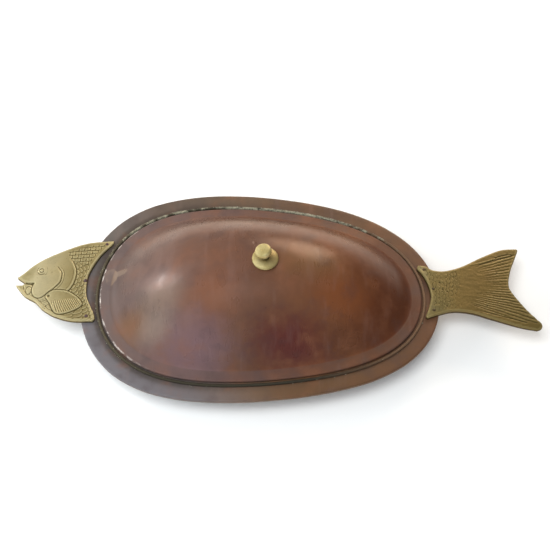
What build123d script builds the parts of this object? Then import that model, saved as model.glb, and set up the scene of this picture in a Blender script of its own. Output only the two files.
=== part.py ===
from build123d import *
import os
from collections import namedtuple
from math import asin, cos, hypot, radians, sin, sqrt, tan

# Lidded fish serving dish: a copper pan and a copper domed lid, with a brass head and tail.
# X runs from the head to the tail, Y to the fish's back and Z up.
# The origin is the middle of the pan's underside. Sizes are in millimetres.

# Pan
pan_half_length = 210.9
pan_half_width = 137.9
pan_height = 38.0
pan_sheet = 1.2
pan_corner_radius = 10.0
pan_wall_angle = 70.0
pan_lip_drop = 4.0
pan_lip_radius = 1.8
pan_taper = 0.120

# Flange left free round the lid, at the head, at the tail and at the sides
head_margin = 23.4
tail_margin = 21.3
side_margin = 22.4

# Shape shared by the ovals: fuller shoulders, ends that drop towards the belly, and a back and belly
# that lean towards the tail
oval_fullness = 0.203
oval_drop = 4.25
oval_skew = 1.9
oval_points = 32

# Seat ring, a wire soldered to the flange round the lid
ring_radius = 1.8
ring_centre_height = 0.8
ring_gap = 1.6

# Lid
lid_sheet = 0.9
lid_wire_radius = 1.1
lid_taper = 0.128
lid_height = 74.5
lid_rest_gap = 0.3
brim_width = 9.5
brim_rise = 1.2
cove_size = 6.0
dome_fullness = 2.0
crown_seat = 0.10
seat_overlap = 13.0

# Knob
knob_x = 5.3
rose_radius = 14.8
rose_height = 6.6
neck_radius = 5.6
neck_height = 4.0
button_radius = 10.0
button_height = 12.6
button_edge_radius = 3.6
stud_radius = 2.5
stud_grip = 10.0
washer_radius = 8.0
washer_thickness = 1.0
nut_flats = 8.0
nut_height = 4.0

# Head casting
head_peak = 7.0
head_crown_radius = 900.0
cheek_relief = 0.9
gill_relief = 0.5
fin_relief = 1.0
fin_rays = 9
fin_ray_angles = (-22.0, -74.0)
fin_ray_start = 19.0
fin_ray_length = 24.0
fin_ray_width = 0.9
fin_ray_depth = 0.7
eye_radius = 4.7
pupil_radius = 3.0
jaw_radius = 6.0
line_radius = 0.7
head_scale_rows = 3
head_scales = 9
head_scale_angle = 3.6
head_scale_pitch = 5.4

# Tail casting
tail_peak = 6.4
tail_crown_radius = 1200.0
tail_rays = 13
tail_ray_angles = (-21.0, 27.0)
tail_ray_start = 58.0
tail_ray_length = 62.0
tail_ray_width = 1.1
tail_ray_depth = 0.8
tail_scale_rows = 4
tail_scales = 6
tail_scale_pitch = 7.0
tail_scale_spacing = 8.2

# Both castings
scale_relief = 0.5
scale_radius = 3.3
root_clearance = 0.3

# Rivets
rivet_shank_radius = 1.3
rivet_head_radius = 2.3
rivet_head_height = 1.1
rivet_tail_radius = 2.2
rivet_tail_height = 0.9
rivet_sink = 0.4

# Running clearance between a shank and its hole
fit_clearance = 0.1

Oval = namedtuple("Oval", "centre half_length half_width taper")
Crown = namedtuple("Crown", "x y peak radius")

# Sections of the dome's loft, from the foot to the seat of the knob
dome_scales = (1.0, 0.985, 0.96, 0.92, 0.86, 0.77, 0.65, 0.50, 0.35, 0.20, crown_seat)

# Castings are drawn for this half width of the pan, and widen with it
drawn_half_width = 137.9

pan_oval = Oval(0.0, pan_half_length, pan_half_width, pan_taper)
lid_oval = Oval(
    (head_margin - tail_margin) / 2,
    pan_half_length - (head_margin + tail_margin) / 2,
    pan_half_width - side_margin,
    lid_taper,
)

bead_radius = lid_wire_radius + lid_sheet
bead_centre_z = pan_height + lid_rest_gap + bead_radius
brim_z = bead_centre_z + bead_radius
foot_inset = bead_radius + brim_width
crown_z = pan_height + lid_height
ring_inset = -(ring_gap + ring_radius)


def oval_point(oval, angle, inset=0.0):
    """Point on an oval at an angle in degrees, moved inwards by inset."""
    c, s = cos(radians(angle)), sin(radians(angle))
    swell = 1 - oval.taper * c + oval_fullness * c * c
    swell_rate = oval.taper * s - 2 * oval_fullness * c * s
    x = oval.centre + oval.half_length * c
    y = oval.half_width * s * swell - oval_drop * c * c + oval_skew * s * s * c
    dx = -oval.half_length * s
    dy = oval.half_width * (c * swell + s * swell_rate)
    dy += 2 * oval_drop * c * s + oval_skew * s * (2 * c * c - s * s)
    run = hypot(dx, dy)
    return x - inset * dy / run, y + inset * dx / run


def oval_edge(oval, z, inset=0.0, scale=1.0):
    """Closed smooth oval at a height, inset first and then scaled about the knob."""
    points = []
    for i in range(oval_points):
        x, y = oval_point(oval, 360.0 * i / oval_points, inset)
        points.append((knob_x + (x - knob_x) * scale, y * scale, z))
    return Edge.make_spline([Vector(*p) for p in points], periodic=True)


def oval_face(oval, z, inset=0.0, scale=1.0):
    return Face(Wire([oval_edge(oval, z, inset, scale)]))


def oval_slab(oval, low, high, inset=0.0):
    return extrude(oval_face(oval, low, inset), amount=high - low, dir=(0, 0, 1))


def oval_tube(oval, z, inset, radius):
    """Round rod bent to an oval."""
    path = oval_edge(oval, z, inset)
    start = Plane(origin=path @ 0, z_dir=path % 0)
    return sweep(start * Circle(radius), path=path)


def turned(profile):
    """Solid turned about Z from an outline in the XZ plane."""
    return revolve(Plane.XZ * make_face(profile), Axis.Z)


# Pan: base, rounded corner, sloping wall, flange and turned-down lip from one sheet

def pan_wall_inset(z, radius, bottom):
    """Inset of the wall from the well's mouth at height z, for a corner of this radius."""
    slope = radians(pan_wall_angle)
    corner_top = bottom + radius * (1 - cos(slope))
    if z >= corner_top:
        return (pan_height - z) / tan(slope)
    lift = sqrt(radius ** 2 - (radius - (z - bottom)) ** 2)
    return (pan_height - corner_top) / tan(slope) + radius * sin(slope) - lift


def pan_bowl(sheet):
    """Filled bowl with the shape of the well's face that lies this far inside the sheet."""
    radius = pan_corner_radius - sheet
    slope = radians(pan_wall_angle)
    corner_top = sheet + radius * (1 - cos(slope))
    heights = [sheet + radius * (1 - cos(slope * i / 4)) for i in range(5)]
    heights += [corner_top + (pan_height - corner_top) * i / 3 for i in (1, 2, 3)]
    shift = seat_overlap - (pan_sheet - sheet) / sin(slope)
    return loft([oval_face(lid_oval, z, shift + pan_wall_inset(z, radius, sheet)) for z in heights])


def dish_pan():
    flange = oval_slab(pan_oval, pan_height - pan_lip_drop, pan_height)
    flange = fillet(flange.faces().sort_by(Axis.Z)[-1].edges(), pan_lip_radius)
    hollow = oval_slab(pan_oval, pan_height - pan_lip_drop, pan_height - pan_sheet, pan_sheet)
    hollow = fillet(hollow.faces().sort_by(Axis.Z)[-1].edges(), pan_lip_radius - pan_sheet / 2)
    pan = flange - hollow + pan_bowl(0.0) - pan_bowl(pan_sheet)
    hole = Cylinder(rivet_shank_radius + fit_clearance, 4 * pan_sheet)
    places = [oval_point(pan_oval, angle, inset) for angle, inset in head_rivets + tail_rivets]
    return pan - [Pos(x, y, pan_height) * hole for x, y in places]


def seat_ring():
    ring = oval_tube(lid_oval, pan_height + ring_centre_height, ring_inset, ring_radius)
    return ring - oval_slab(pan_oval, pan_height - ring_radius, pan_height)


# Lid: brim and dome from one sheet, its edge rolled round a wire

def dome_rise(scale):
    """Height of the dome over its foot, where scale is 1 at the foot and 0 at the middle."""
    full = sqrt((crown_z - brim_z - brim_rise + cove_size) ** 2 - cove_size ** 2)
    reach = max(0.0, (scale - crown_seat) / (1 - crown_seat))
    bulge = full * (1 - reach ** dome_fullness)
    return hypot(bulge, cove_size) - cove_size


def dome_slope(scale):
    """Slope of the dome across its short way, as rise over run."""
    step = 0.002
    low, high = scale - step, min(1.0, scale + step)
    return (dome_rise(low) - dome_rise(high)) / ((high - low) * (lid_oval.half_width - foot_inset))


def lid_filling(sheet, edge_inset, floor_z):
    """Dome and skirt filled out to the face that lies this far inside the sheet."""
    sections = []
    for share in (0.0, 0.35, 0.7):
        inset = edge_inset + (foot_inset - edge_inset) * share
        climb = brim_rise * (inset - bead_radius) / brim_width
        sections.append(oval_face(lid_oval, brim_z + climb - sheet, inset))
    for scale in dome_scales:
        lean = hypot(1, dome_slope(scale))
        inset = foot_inset + sheet * dome_slope(scale) / lean
        z = brim_z + brim_rise + dome_rise(scale) - sheet / lean
        sections.append(oval_face(lid_oval, z, inset, scale))
    skirt = extrude(sections[0], amount=brim_z - sheet - floor_z, dir=(0, 0, -1))
    return [loft(sections), skirt]


def lid_shell():
    dome, skirt = lid_filling(0.0, bead_radius, brim_z - lid_sheet)
    sheet = dome + skirt - lid_filling(lid_sheet, 2 * bead_radius, bead_centre_z)
    bead = oval_tube(lid_oval, bead_centre_z, bead_radius, bead_radius)
    bore = oval_tube(lid_oval, bead_centre_z, bead_radius, lid_wire_radius + fit_clearance / 2)
    stud_hole = Cylinder(stud_radius + fit_clearance, 6 * lid_sheet)
    return sheet + bead - bore - Pos(knob_x, 0, crown_z) * stud_hole


def lid_edge_wire():
    return oval_tube(lid_oval, bead_centre_z, bead_radius, lid_wire_radius)


# Knob: turned button on a rose, held by a stud, a washer and a nut

def knob_rose():
    edge = rose_height * 0.55
    bore = stud_radius + fit_clearance
    foot = (rose_radius - 1, 0)
    shoulder = (rose_radius - 1.6, edge)
    seat = (neck_radius + 0.6, rose_height)
    profile = Polyline(seat, (bore, rose_height), (bore, 0), foot)
    profile += ThreePointArc(foot, (rose_radius, edge / 2), shoulder)
    profile += Spline(shoulder, (neck_radius + 3, rose_height - 0.8), seat, tangents=((-1, 0.6), (-1, 0.1)))
    return Pos(knob_x, 0, crown_z) * turned(profile)


def knob_button():
    button = Cylinder(button_radius, button_height, align=(Align.CENTER, Align.CENTER, Align.MIN))
    button = fillet(button.edges().filter_by(GeomType.CIRCLE), button_edge_radius)
    neck = Cylinder(neck_radius, neck_height + button_edge_radius,
                    align=(Align.CENTER, Align.CENTER, Align.MIN))
    button = Pos(0, 0, neck_height) * button + neck
    bore_depth = stud_grip + fit_clearance
    button -= Pos(0, 0, bore_depth / 2) * Cylinder(stud_radius + fit_clearance / 2, bore_depth)
    return Pos(knob_x, 0, crown_z + rose_height) * button


def knob_stud():
    low = -(lid_sheet + washer_thickness + nut_height + 2.0)
    high = rose_height + stud_grip
    stud = Cylinder(stud_radius, high - low, align=(Align.CENTER, Align.CENTER, Align.MIN))
    stud = chamfer(stud.edges().filter_by(GeomType.CIRCLE), 0.5)
    return Pos(knob_x, 0, crown_z + low) * stud


def knob_washer():
    washer = Cylinder(washer_radius, washer_thickness) - Cylinder(
        stud_radius + fit_clearance, washer_thickness
    )
    return Pos(knob_x, 0, crown_z - lid_sheet - washer_thickness / 2) * washer


def knob_nut():
    nut = extrude(RegularPolygon(nut_flats / 2, 6, major_radius=False), amount=nut_height)
    nut &= Cylinder(nut_flats * 0.56, nut_height, align=(Align.CENTER, Align.CENTER, Align.MIN))
    nut -= Cylinder(stud_radius + fit_clearance / 2, 3 * nut_height)
    return Pos(knob_x, 0, crown_z - lid_sheet - washer_thickness - nut_height) * nut


# Castings: crowned plates in half relief, riveted flat on the flange.
# A root is set by angle and inset on the pan's oval, the rest by its place from the pan's end.

head_root = [(194.0, 12.5), (193.0, 15.7), (190.2, 15.6), (186.8, 12.7), (182.2, 8.4), (176.5, 6.8),
             (171.4, 7.0), (162.9, 11.1), (155.3, 15.2), (153.6, 13.1)]
head_brow = [(4.1, 62.1), (-16.4, 53.7), (-36.5, 42.7), (-55.1, 29.8), (-70.0, 14.5)]
head_mouth = [(-74.7, 10.8), (-64.9, 4.0), (-68.0, 0.5), (-75.7, 0.7)]
head_belly = [(-64.1, -12.7), (-50.3, -20.9), (-39.9, -30.9), (-24.8, -39.5), (-4.8, -44.5)]
cheek_edge = [(-30.0, 23.5), (-24.1, 18.7), (-22.9, 8.9), (-26.9, -2.1), (-35.9, -13.2), (-47.1, -15.3)]
gill_edge = [(-20.8, 43.1), (-15.7, 37.6), (-8.1, 26.5), (-5.4, 14.1), (-6.2, 3.1), (-10.8, -6.9)]
cover_frame = [(-22.8, -60.0), (-91.0, -60.0), (-91.0, 80.0), (-26.8, 80.0)]
fin_outline = [(-34.9, -13.2), (-26.4, -6.1), (-13.8, -6.1), (-1.8, -11.2), (6.4, -19.4), (6.9, -24.2),
               (-1.6, -31.5), (-12.5, -35.9), (-20.8, -35.5), (-28.3, -25.0)]
eye_centre = (-48.9, 23.1)
jaw_centre = (-60.3, -5.1)
head_middle = (-30.8, 10.1)
head_scale_start = 187.0
head_rivets = [(156.8, 9.7), (175.8, 4.9), (191.2, 7.1)]

tail_root = [(19.6, 12.4), (17.8, 15.3), (13.3, 13.0), (7.2, 11.2), (0.5, 10.4), (353.7, 13.1),
             (349.2, 14.6), (348.0, 11.8)]
tail_belly = [(-3.6, -26.5), (14.6, -21.9), (35.6, -23.5), (57.1, -30.2), (89.3, -40.1), (109.8, -44.0)]
tail_fork = [(116.6, -35.1), (109.5, -27.7), (98.7, -15.3), (84.8, 5.7), (82.6, 17.4), (86.7, 34.7),
             (93.8, 52.3), (98.5, 64.0)]
tail_back = [(97.1, 66.7), (77.8, 64.2), (53.6, 52.7), (29.6, 39.4), (9.7, 32.6), (-5.1, 33.2), (-14.9, 39.0)]
tail_middle = (38.0, 8.1)
tail_fan = (-12.0, 6.1)
tail_scale_start = (-1.0, 25.0)
tail_rivets = [(16.2, 8.6), (4.7, 6.8), (353.1, 6.8)]

head_crown = Crown(-pan_half_length + head_middle[0], head_middle[1], head_peak, head_crown_radius)
tail_crown = Crown(pan_half_length + tail_middle[0], tail_middle[1], tail_peak, tail_crown_radius)


def crown_top(crown, x, y):
    """Height of a casting's crowned top at a point."""
    fall = crown.radius - sqrt(crown.radius ** 2 - (x - crown.x) ** 2 - (y - crown.y) ** 2)
    return pan_height + crown.peak - fall


def crown_ball(crown, extra=0.0):
    centre_z = pan_height + crown.peak - crown.radius
    return Pos(crown.x, crown.y, centre_z) * Sphere(crown.radius + extra)


def block(edges, crown, extra=0.0):
    """Plate under a crown, from the flange's face up, inside closed edges."""
    plate = extrude(make_face(edges), amount=crown.peak + 4, dir=(0, 0, 1))
    return Pos(0, 0, pan_height) * plate & crown_ball(crown, extra)


def placed(points, end_x):
    """Points of a casting, measured from the pan's end and widened with the pan."""
    return [(end_x + x, y * pan_half_width / drawn_half_width) for x, y in points]


def rivet_seat(crown, x, y):
    """Height of the spot face under a rivet's head."""
    return crown_top(crown, x, y) - rivet_sink


def trimmed(casting, crown, rivets):
    """Casting cut clear of the seat ring and bored for its rivets."""
    keep_out = ring_inset - ring_radius - root_clearance
    cuts = [oval_slab(lid_oval, pan_height - 1, pan_height + 2 * crown.peak, keep_out)]
    hole = Cylinder(rivet_shank_radius + fit_clearance, 4 * crown.peak)
    spot = Cylinder(rivet_head_radius + fit_clearance, crown.peak,
                    align=(Align.CENTER, Align.CENTER, Align.MIN))
    for angle, inset in rivets:
        x, y = oval_point(pan_oval, angle, inset)
        cuts += [Pos(x, y, pan_height) * hole, Pos(x, y, rivet_seat(crown, x, y)) * spot]
    return casting - cuts


def spread(limits, count):
    """Angles spaced evenly between two limits."""
    first, last = limits
    return [first + (last - first) * i / (count - 1) for i in range(count)]


def head_casting():
    end_x = -pan_half_length
    root = [oval_point(pan_oval, angle, inset) for angle, inset in head_root]
    brow = placed(head_brow, end_x)
    mouth = placed(head_mouth, end_x)
    belly = placed(head_belly, end_x)
    outline = Spline(*root) + Spline(root[-1], *brow, mouth[0]) + Polyline(*mouth)
    outline += Spline(mouth[-1], *belly, root[0])
    head = block(outline, head_crown)

    # Gill cover and cheek, each a step higher than what lies behind it
    frame = placed(cover_frame, end_x)
    for edge, relief in ((gill_edge, gill_relief), (cheek_edge, cheek_relief)):
        rear = placed(edge, end_x)
        cover = Spline(*rear) + Polyline(rear[-1], *frame, rear[0])
        cover = make_face(cover) & make_face(outline)
        cover = extrude(cover, amount=head_crown.peak + 4, dir=(0, 0, 1))
        head += Pos(0, 0, pan_height) * cover & crown_ball(head_crown, relief)

    # Pectoral fin with its rays
    fin = placed(fin_outline, end_x)
    head += block(Spline(*fin, periodic=True), head_crown, fin_relief + gill_relief)
    fan_x, fan_y = fin[0]
    fan_z = crown_top(head_crown, fan_x, fan_y) + fin_relief
    ray = Box(fin_ray_length, fin_ray_width, 2 * fin_ray_depth)
    ray = Pos(fin_ray_start + fin_ray_length / 2, 0, 0) * ray
    grooves = [Pos(fan_x, fan_y, fan_z) * Rot(0, 0, lean) * ray for lean in spread(fin_ray_angles, fin_rays)]

    # Scales behind the gill cover, in staggered rows
    scales = []
    for row in range(head_scale_rows):
        for step in range(head_scales):
            angle = head_scale_start - head_scale_angle * (step + row % 2 / 2)
            bow = 0.03 * (angle - 174) ** 2
            x, y = oval_point(pan_oval, angle, 4.5 - head_scale_pitch * row + bow)
            if x > end_x - 5.5 + 0.012 * (y - 14) ** 2:
                scales.append(Pos(x, y, pan_height) * scale_boss(head_crown, x, y))

    # Eye, jaw plate and the line of the mouth
    (eye_x, eye_y), (jaw_x, jaw_y) = placed([eye_centre, jaw_centre], end_x)
    eye_z = crown_top(head_crown, eye_x, eye_y) + cheek_relief + gill_relief
    eye_line = Pos(eye_x, eye_y, eye_z) * Torus(eye_radius, line_radius)
    jaw_line = Pos(jaw_x, jaw_y, eye_z - 0.3) * Torus(jaw_radius, line_radius)
    head = head + scales - (grooves + [eye_line, jaw_line])
    head += Pos(eye_x, eye_y, eye_z + 0.8 - pupil_radius) * Sphere(pupil_radius)
    return trimmed(head, head_crown, head_rivets)


def scale_boss(crown, x, y):
    """One scale that stands a little out of the casting, over a point on the flange's face."""
    height = crown_top(crown, x, y) + scale_relief - pan_height
    return Cylinder(scale_radius, height, align=(Align.CENTER, Align.CENTER, Align.MIN))


def tail_casting():
    end_x = pan_half_length
    root = [oval_point(pan_oval, angle, inset) for angle, inset in tail_root]
    belly = placed(tail_belly, end_x)
    fork = placed(tail_fork, end_x)
    back = placed(tail_back, end_x)
    outline = Spline(*root) + Spline(root[-1], *belly, fork[0]) + Spline(*fork)
    outline += Spline(fork[-1], *back, root[0])
    tail = block(outline, tail_crown)

    # Rays that fan from the narrow of the tail to the fork, the outer ones longer
    fan_x, fan_y = placed([tail_fan], end_x)[0]
    grooves = []
    for lean in spread(tail_ray_angles, tail_rays):
        length = tail_ray_length + 0.045 * lean ** 2
        reach = tail_ray_start + abs(lean) / 2 + length / 2
        x = fan_x + reach * cos(radians(lean))
        y = fan_y + reach * sin(radians(lean))
        z = crown_top(tail_crown, x, y) + 0.2
        grooves.append(Pos(x, y, z) * Rot(0, 0, lean) * Box(length, tail_ray_width, 2 * tail_ray_depth))

    # Pebbly scales at the root, in staggered rows
    scales = []
    start_x, start_y = placed([tail_scale_start], end_x)[0]
    for row in range(tail_scale_rows):
        for step in range(tail_scales - row % 2):
            x = start_x + tail_scale_pitch * row
            y = start_y - tail_scale_spacing * (step + row % 2 / 2)
            scales.append(Pos(x, y, pan_height) * scale_boss(tail_crown, x, y))
    return trimmed(tail + scales - grooves, tail_crown, tail_rivets)


# Rivets: domed head on the casting, shank through the flange, tail hammered over below

def cap_middle(radius, height):
    """Point half way along the arc of a domed cap, from its rim's plane."""
    ball = (radius ** 2 + height ** 2) / (2 * height)
    half = asin(radius / ball) / 2
    return ball * sin(half), height - ball * (1 - cos(half))


def rivet(crown, angle, inset):
    x, y = oval_point(pan_oval, angle, inset)
    seat = rivet_seat(crown, x, y)
    under = pan_height - pan_sheet
    foot = under - rivet_tail_height
    top = seat + rivet_head_height
    tail_x, tail_drop = cap_middle(rivet_tail_radius, rivet_tail_height)
    head_x, head_climb = cap_middle(rivet_head_radius, rivet_head_height)
    profile = ThreePointArc((0, foot), (tail_x, under - tail_drop), (rivet_tail_radius, under))
    profile += Polyline(
        (rivet_tail_radius, under), (rivet_shank_radius, under), (rivet_shank_radius, seat),
        (rivet_head_radius, seat),
    )
    profile += ThreePointArc((rivet_head_radius, seat), (head_x, seat + head_climb), (0, top))
    profile += Line((0, top), (0, foot))
    return Pos(x, y, 0) * turned(profile)


# Nodes
parts = {
    "dish_pan": dish_pan(),
    "seat_ring": seat_ring(),
    "head_casting": head_casting(),
    "tail_casting": tail_casting(),
    "lid_shell": lid_shell(),
    "lid_edge_wire": lid_edge_wire(),
    "knob_rose": knob_rose(),
    "knob_button": knob_button(),
    "knob_stud": knob_stud(),
    "knob_washer": knob_washer(),
    "knob_nut": knob_nut(),
}
for place, (angle, inset) in zip(("upper", "middle", "lower"), head_rivets):
    parts["head_rivet_" + place] = rivet(head_crown, angle, inset)
for place, (angle, inset) in zip(("upper", "middle", "lower"), tail_rivets):
    parts["tail_rivet_" + place] = rivet(tail_crown, angle, inset)

os.makedirs("parts", exist_ok=True)
for name, shape in parts.items():
    export_step(shape, f"parts/{name}.step")
    box = shape.bounding_box()
    print(name, len(shape.solids()), round(shape.volume), box.min, box.max)
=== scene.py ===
import math

import bmesh
import bpy
import numpy as np
from mathutils import Matrix, Vector, geometry, noise


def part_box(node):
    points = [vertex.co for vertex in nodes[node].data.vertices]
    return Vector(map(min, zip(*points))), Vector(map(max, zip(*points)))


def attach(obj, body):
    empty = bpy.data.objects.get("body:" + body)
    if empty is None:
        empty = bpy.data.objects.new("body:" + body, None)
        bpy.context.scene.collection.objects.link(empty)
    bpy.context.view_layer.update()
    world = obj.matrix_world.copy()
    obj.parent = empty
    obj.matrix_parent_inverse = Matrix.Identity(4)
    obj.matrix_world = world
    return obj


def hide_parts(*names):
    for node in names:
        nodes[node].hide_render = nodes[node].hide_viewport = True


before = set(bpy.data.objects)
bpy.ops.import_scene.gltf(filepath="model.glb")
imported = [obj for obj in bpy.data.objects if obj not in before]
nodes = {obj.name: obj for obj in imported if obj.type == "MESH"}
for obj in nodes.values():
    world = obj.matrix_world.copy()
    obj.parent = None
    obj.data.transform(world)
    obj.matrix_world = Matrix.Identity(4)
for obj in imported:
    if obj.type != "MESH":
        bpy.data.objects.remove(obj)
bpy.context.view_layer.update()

MM = 0.001


# The picture: a plain white table top, seen from 60 degrees above its horizon and almost square to the
# dish's length. A softbox over the dish and a cool window at the head end make the soft shadows. A small
# lamp beside the head makes the lid's highlight, and a warm reflector brightens its far shoulder.

view_elevation = math.radians(60.0)
view_roll = math.radians(-1.16)
view_distance = 1.176
view_focal_px = 1000.0
frame_px = 550.0
aim_px = (263.0, 294.0)
aim_point = Vector((3.56 * MM, -1.3 * MM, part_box("dish_pan")[1].z))
table_reach = 6.0
shadow_near, shadow_far = 0.27, 0.46
cool_wall = (0.94, 0.96, 1.0, 1.0)
warm_wall = (1.0, 0.80, 0.62, 1.0)


def place_camera():
    """Camera that sees the aim point at its own pixel of the picture."""
    back = Vector((0, -math.cos(view_elevation), math.sin(view_elevation)))
    right = Vector((1, 0, 0))
    up = back.cross(right)
    rolled_right = right * math.cos(view_roll) - up * math.sin(view_roll)
    rolled_up = right * math.sin(view_roll) + up * math.cos(view_roll)
    data = bpy.data.cameras.new("camera")
    data.sensor_width = 36.0
    data.lens = view_focal_px / frame_px * data.sensor_width
    data.shift_x = (frame_px / 2 - aim_px[0]) / frame_px
    data.shift_y = (aim_px[1] - frame_px / 2) / frame_px
    data.clip_end = 20.0
    camera = bpy.data.objects.new("camera", data)
    turn = Matrix((rolled_right, rolled_up, back)).transposed().to_4x4()
    camera.matrix_world = Matrix.Translation(aim_point + back * view_distance) @ turn
    bpy.context.scene.collection.objects.link(camera)
    bpy.context.scene.camera = camera


def linear(code):
    """Linear colour of an sRGB hex code."""
    parts = [int(code[i:i + 2], 16) / 255 for i in (1, 3, 5)]
    return tuple(c / 12.92 if c <= 0.04045 else ((c + 0.055) / 1.055) ** 2.4 for c in parts) + (1.0,)


def add_node(tree, kind, links=None, **settings):
    """Adds a node, sets its properties and sockets by name, and links its inputs."""
    node = tree.nodes.new(kind)
    for key, value in settings.items():
        if hasattr(node, key):
            setattr(node, key, value)
    for key, value in (links or {}).items():
        socket = node.inputs[key]
        if isinstance(value, bpy.types.NodeSocket):
            tree.links.new(value, socket)
        else:
            socket.default_value = value
    return node


def new_material(name):
    """Empty node material, the socket of the object's own coordinates, and their X, Y and Z."""
    material = bpy.data.materials.new(name)
    material.use_nodes = True
    tree = material.node_tree
    tree.nodes.clear()
    here = add_node(tree, "ShaderNodeTexCoord").outputs["Object"]
    return material, here, add_node(tree, "ShaderNodeSeparateXYZ", {"Vector": here}).outputs


def ramp(value, low, high, start=0.0, end=1.0, way="SMOOTHSTEP"):
    """Maps a value from low to high onto start to end, clamped."""
    return add_node(value.id_data, "ShaderNodeMapRange", {
        "Value": value, "From Min": low, "From Max": high, "To Min": start, "To Max": end},
        interpolation_type=way).outputs[0]


def calc(operation, first, second=0.0):
    """One arithmetic step between two values, of which the first is a socket."""
    return add_node(first.id_data, "ShaderNodeMath", {0: first, 1: second}, operation=operation).outputs[0]


def mix_colour(share, first, second):
    """Mixes two colours by a share. A colour is a socket, four numbers or an sRGB hex code."""
    first, second = (linear(c) if isinstance(c, str) else c for c in (first, second))
    return add_node(share.id_data, "ShaderNodeMix", {0: share, 6: first, 7: second},
                    data_type="RGBA").outputs[2]


def oval_reach(here, middle, scale):
    """Distance from a middle, with each axis scaled, so that equal distances lie on ovals."""
    gap = add_node(here.id_data, "ShaderNodeVectorMath", {0: here, 1: middle}, operation="SUBTRACT")
    flat = add_node(here.id_data, "ShaderNodeVectorMath", {0: gap.outputs[0], 1: scale}, operation="MULTIPLY")
    return add_node(here.id_data, "ShaderNodeVectorMath", {0: flat.outputs[0]},
                    operation="LENGTH").outputs["Value"]


def table_top():
    """White top. Close to the dish it keeps its soft shadow, and further off it shows as pure white. Its
    reflection in the metal is warmer."""
    mesh = bpy.data.meshes.new("table_top")
    corners = [(x * table_reach, y * table_reach, 0) for x, y in ((-1, -1), (1, -1), (1, 1), (-1, 1))]
    mesh.from_pydata(corners, [], [(0, 1, 2, 3)])
    top = bpy.data.objects.new("table_top", mesh)
    bpy.context.scene.collection.objects.link(top)
    material, here, _ = new_material("white_laminate")
    tree = material.node_tree
    ray = add_node(tree, "ShaderNodeLightPath").outputs
    lift = ramp(oval_reach(here, (0, 0, 0), (0.8, 1.3, 0)), shadow_near, shadow_far, 0.13, 0.6)
    shown = calc("ADD", calc("MULTIPLY", ray["Is Glossy Ray"], 0.7), ray["Is Camera Ray"])
    paint = add_node(tree, "ShaderNodeBsdfDiffuse", {
        "Color": mix_colour(ray["Is Glossy Ray"], "#edf0f0", "#e6d2be")})
    glow = add_node(tree, "ShaderNodeEmission", {
        "Color": (1, 1, 1, 1), "Strength": calc("MULTIPLY", shown, lift)})
    both = add_node(tree, "ShaderNodeAddShader", {0: paint.outputs[0], 1: glow.outputs[0]})
    add_node(tree, "ShaderNodeOutputMaterial", {"Surface": both.outputs[0]})
    mesh.materials.append(material)


def soft_lamp(name, place, size, watts, mirrored=True, colour=(1, 1, 1)):
    """Square area lamp that faces the dish, with or without its own reflection in the metal."""
    data = bpy.data.lights.new(name, "AREA")
    data.shape = "SQUARE"
    data.size = size
    data.energy = watts
    data.color = colour
    lamp = bpy.data.objects.new(name, data)
    lamp.location = place
    lamp.rotation_euler = (-Vector(place)).to_track_quat("-Z", "Y").to_euler()
    lamp.visible_glossy = mirrored
    bpy.context.scene.collection.objects.link(lamp)


def light_the_room():
    """Walls that are brighter towards the head and warmer on the far side, and four lamps."""
    world = bpy.data.worlds.new("room")
    world.use_nodes = True
    tree = world.node_tree
    background = tree.nodes["Background"]
    way = add_node(tree, "ShaderNodeTexCoord").outputs["Generated"]
    towards = add_node(tree, "ShaderNodeSeparateXYZ", {"Vector": way}).outputs
    far = ramp(towards["Y"], 0.25, 0.85, way="LINEAR")
    tree.links.new(ramp(towards["X"], -0.9, 0.9, 0.66, 0.16, "LINEAR"), background.inputs["Strength"])
    tree.links.new(mix_colour(far, cool_wall, warm_wall), background.inputs["Color"])
    bpy.context.scene.world = world
    soft_lamp("ceiling_softbox", (-0.42, -0.52, 1.9), 0.9, 26, mirrored=False)
    soft_lamp("left_window", (-1.5, -0.25, 0.85), 0.7, 8, mirrored=False, colour=(0.92, 0.96, 1.0))
    soft_lamp("side_softbox", (-1.39, 0.61, 0.82), 0.16, 3.6)
    soft_lamp("far_reflector", (0.62, 1.72, 1.10), 1.0, 17, colour=(1.0, 0.80, 0.62))


place_camera()
table_top()
light_the_room()
bpy.context.scene.view_settings.view_transform = "Standard"


# Dish pan: one copper sheet 1.2 mm thick, raised by hammer into an oval well with a wide flat flange.
# Its rim is turned down. The flange is brown with age and greyer at the head end, with a painted grey
# reflection on its near left side, and it waves a little, as hand-raised sheet does.

pan_low, pan_high = (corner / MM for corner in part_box("dish_pan"))
lid_low, lid_high = (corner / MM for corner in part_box("lid_shell"))
pan_half_width = 137.9
lid_half_width = 115.5
oval_fullness = 0.203
oval_drop = 4.25
oval_skew = 1.9
knob_x = 5.3
pan_oval = {"centre": (pan_low.x + pan_high.x) / 2, "half_length": (pan_high.x - pan_low.x) / 2,
            "half_width": pan_half_width, "taper": 0.120}
lid_oval = {"centre": (lid_low.x + lid_high.x) / 2, "half_length": (lid_high.x - lid_low.x) / 2,
            "half_width": lid_half_width, "taper": 0.128}
flange_z = pan_high.z
pan_sheet = 1.2
pan_lip_radius = 1.8
pan_lip_drop = 4.0
pan_corner_radius = 10.0
pan_wall_angle = math.radians(70.0)
well_inset = 13.0
mouth_bend = 1.5
loop_count = 288
flange_wave = 0.35
rim_wave = 0.45
flange_wave_length = 55.0
rim_wave_length = 34.0
still_under_castings = 175.0


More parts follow.
